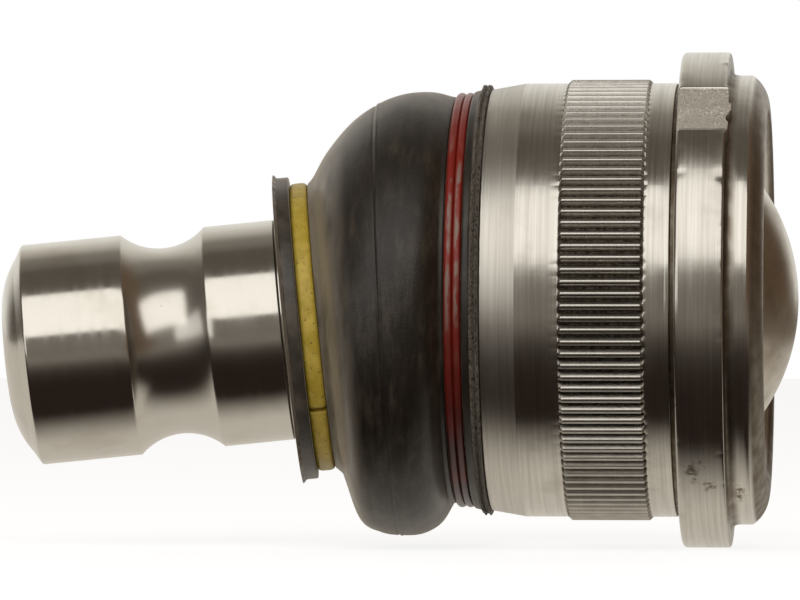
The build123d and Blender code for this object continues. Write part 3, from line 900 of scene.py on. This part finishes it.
def floor_material(look):
    """Matt white paper. The camera sees it near white, with the part's shadow on it. In metal it is
    pale under and behind the part, nearer its axis by the stud and the cover, dark close in front
    of it, grey further out, and dim past the cover."""
    material, tree, place = new_material("studio_paper")
    paper = add(tree, "BsdfDiffuse", {0: look.floor})
    half = add(tree, "BsdfDiffuse", {0: [0.45 * share for share in look.floor]})
    glow = add(tree, "Emission", {0: (1.0, 1.0, 1.0), 1: 0.84})
    lit = add(tree, "AddShader", {0: half, 1: glow})
    sideways, depth = [add(tree, "SeparateXYZ", {0: place}, axis) for axis in range(2)]
    soft = {"interpolation_type": "SMOOTHSTEP"}
    far_share = add(tree, "MapRange", span(depth, -150.0, -34.0), **soft)
    from_barrel = add(tree, "Math", {0: sideways, 1: 3.5}, operation="ADD")
    aside = add(tree, "Math", {0: from_barrel}, operation="ABSOLUTE")
    closer = add(tree, "MapRange", span(aside, 18.5, 23.0, 0.0, 6.0))
    from_edge = add(tree, "Math", {0: depth, 1: closer}, operation="SUBTRACT")
    edge_share = add(tree, "MapRange", span(from_edge, -25.0, -11.0), **soft)
    right_share = add(tree, "MapRange", span(sideways, 60.0, 125.0), **soft)
    front = add(tree, "Mix", {0: far_share, 6: "#87817a", 7: "#2f2622"}, **COLOURS)
    under = add(tree, "Mix", {0: edge_share, 6: front, 7: "#dcd6cc"}, **COLOURS)
    tone = add(tree, "Mix", {0: right_share, 6: under, 7: "#7a6f62"}, **COLOURS)
    mirror = add(tree, "Emission", {0: tone, 1: 1.0})
    glossy, seen = [add(tree, "LightPath", {}, ray) for ray in ("Is Glossy Ray", "Is Camera Ray")]
    reflected = add(tree, "MixShader", {0: glossy, 1: paper, 2: mirror})
    add(tree, "OutputMaterial", {0: add(tree, "MixShader", {0: seen, 1: reflected, 2: lit})}, None)
    return material


def build_floor(look):
    """A flat sheet at the part's lowest point."""
    reach = 1.5
    mesh = bpy.data.meshes.new("floor")
    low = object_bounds()[0].z
    corners = ((-reach, -reach), (reach, -reach), (reach, reach), (-reach, reach))
    mesh.from_pydata([(x, y, low) for x, y in corners], [], [(0, 1, 2, 3)])
    mesh.materials.append(floor_material(look))
    floor = in_scene("floor", mesh)
    floor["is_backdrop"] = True


def build_softbox(name, bearing, height, width, tall, distance, power):
    """A soft rectangular light that faces the part. Bearing is its angle from the camera's
    direction towards the domed cover, and width and tall are the angles that it fills as the part
    sees it, all in degrees."""
    bearing, height, width, tall = map(math.radians, (bearing, height, width, tall))
    level = math.cos(height)
    place = Vector((math.sin(bearing) * level, -math.cos(bearing) * level, math.sin(height)))
    light = bpy.data.lights.new(name, "AREA")
    light.shape = "RECTANGLE"
    light.size, light.size_y = [2 * distance * math.tan(angle / 2) for angle in (width, tall)]
    light.energy = power * math.pi * light.size * light.size_y
    light.color = (1.0, 0.99, 0.97)
    box = in_scene(name, light)
    box.location = TARGET + place * distance
    box.rotation_euler = (-place).to_track_quat("-Z", "Y").to_euler()
    box.visible_camera = False


def build_camera(look):
    """A long lens at the part's own height, a little towards the domed cover."""
    azimuth = math.radians(4.8)
    camera = in_scene("camera", bpy.data.cameras.new("camera"))
    camera.data.lens, camera.data.sensor_width = 315, 36
    back = Vector((math.sin(azimuth), -math.cos(azimuth), 0))
    camera.location = TARGET + back * look.camera_distance
    camera.rotation_euler = (-back).to_track_quat("-Z", "Y").to_euler()
    camera.data.clip_start, camera.data.clip_end = 0.01, 10
    bpy.context.scene.camera = camera


# Operators, one for each piece or group of like pieces, and one for the stage


class BALLJOINT_OT_housing(bpy.types.Operator):
    """Builds the turned and knurled housing with its flange and rolled rim"""

    bl_idname = "balljoint.housing"
    bl_label = "Housing"

    def execute(self, context):
        look = context.scene.housing_look
        piece = build_housing(look, turned_steel(look))
        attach(piece, "housing")
        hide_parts("housing")
        return {"FINISHED"}


class BALLJOINT_OT_cover(bpy.types.Operator):
    """Builds the domed cover plate"""

    bl_idname = "balljoint.cover"
    bl_label = "Cover plate"

    def execute(self, context):
        piece = build_cover(pressed_steel(context.scene.cover_look))
        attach(piece, "housing")
        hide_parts("cover_plate")
        return {"FINISHED"}


class BALLJOINT_OT_stud(bpy.types.Operator):
    """Builds the ball stud"""

    bl_idname = "balljoint.stud"
    bl_label = "Ball stud"

    def execute(self, context):
        piece = build_stud(ground_steel(context.scene.stud_look))
        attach(piece, "stud")
        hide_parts("ball_stud")
        return {"FINISHED"}


class BALLJOINT_OT_seat(bpy.types.Operator):
    """Gives the CAD ball seat its moulded acetal"""

    bl_idname = "balljoint.seat"
    bl_label = "Ball seat"

    def execute(self, context):
        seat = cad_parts["ball_seat"]
        seat.data.materials.clear()
        seat.data.materials.append(moulded_acetal(context.scene.seat_look))
        return {"FINISHED"}


class BALLJOINT_OT_boot(bpy.types.Operator):
    """Builds the rubber boot, whose rings tilt more and more from its lip to its collar"""

    bl_idname = "balljoint.boot"
    bl_label = "Boot"

    def execute(self, context):
        look = context.scene.boot_look
        piece = build_boot(look, moulded_rubber(look))
        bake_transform(piece)
        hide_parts("boot_lip", "boot_bellows", "boot_collar")
        return {"FINISHED"}


class BALLJOINT_OT_rings(bpy.types.Operator):
    """Builds the two rings that hold the boot"""

    bl_idname = "balljoint.rings"
    bl_label = "Boot rings"

    def execute(self, context):
        look = context.scene.ring_look
        wire = build_wire_ring(coated_wire(look))
        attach(wire, "boot")
        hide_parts("boot_lower_ring")
        split = build_split_ring(moulded_yellow(look))
        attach(split, "collar")
        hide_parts("boot_upper_ring")
        return {"FINISHED"}


class BALLJOINT_OT_stage(bpy.types.Operator):
    """Sets the floor, the studio light and the camera"""

    bl_idname = "balljoint.stage"
    bl_label = "Stage"

    def execute(self, context):
        look = context.scene.stage_look
        studio_world()
        build_floor(look)
        build_softbox("softbox", 0.0, 39.6, 80, 44.8, 0.55, look.key)
        build_softbox("side_window", -42, -3.5, 56, 41, 0.6, look.window)
        build_camera(look)
        context.scene.view_settings.view_transform = "Standard"
        return {"FINISHED"}


OPERATORS = (
    BALLJOINT_OT_housing,
    BALLJOINT_OT_cover,
    BALLJOINT_OT_stud,
    BALLJOINT_OT_seat,
    BALLJOINT_OT_boot,
    BALLJOINT_OT_rings,
    BALLJOINT_OT_stage,
)
LOOKS = {
    "housing_look": HousingLook,
    "cover_look": CoverLook,
    "stud_look": StudLook,
    "seat_look": SeatLook,
    "boot_look": BootLook,
    "ring_look": RingLook,
    "stage_look": StageLook,
}


class BALLJOINT_PT_panel(bpy.types.Panel):
    """Lists the looks and the steps that build them"""

    bl_idname = "BALLJOINT_PT_panel"
    bl_label = "Ball joint"
    bl_space_type = "VIEW_3D"
    bl_region_type = "UI"
    bl_category = "Ball joint"

    def draw(self, context):
        for operator, (name, look) in zip(OPERATORS, LOOKS.items()):
            section = self.layout.box()
            for setting in look.__annotations__:
                section.prop(getattr(context.scene, name), setting)
            section.operator(operator.bl_idname)


def register():
    for name, look in LOOKS.items():
        bpy.utils.register_class(look)
        setattr(bpy.types.Scene, name, PointerProperty(type=look))
    for shown in (*OPERATORS, BALLJOINT_PT_panel):
        bpy.utils.register_class(shown)


def unregister():
    for shown in (BALLJOINT_PT_panel, *reversed(OPERATORS)):
        bpy.utils.unregister_class(shown)
    for name, look in reversed(LOOKS.items()):
        delattr(bpy.types.Scene, name)
        bpy.utils.unregister_class(look)


def main():
    register()
    bpy.ops.balljoint.housing()
    bpy.ops.balljoint.cover()
    bpy.ops.balljoint.stud()
    bpy.ops.balljoint.seat()
    bpy.ops.balljoint.boot()
    bpy.ops.balljoint.rings()
    bpy.ops.balljoint.stage()


if __name__ == "__main__":
    main()
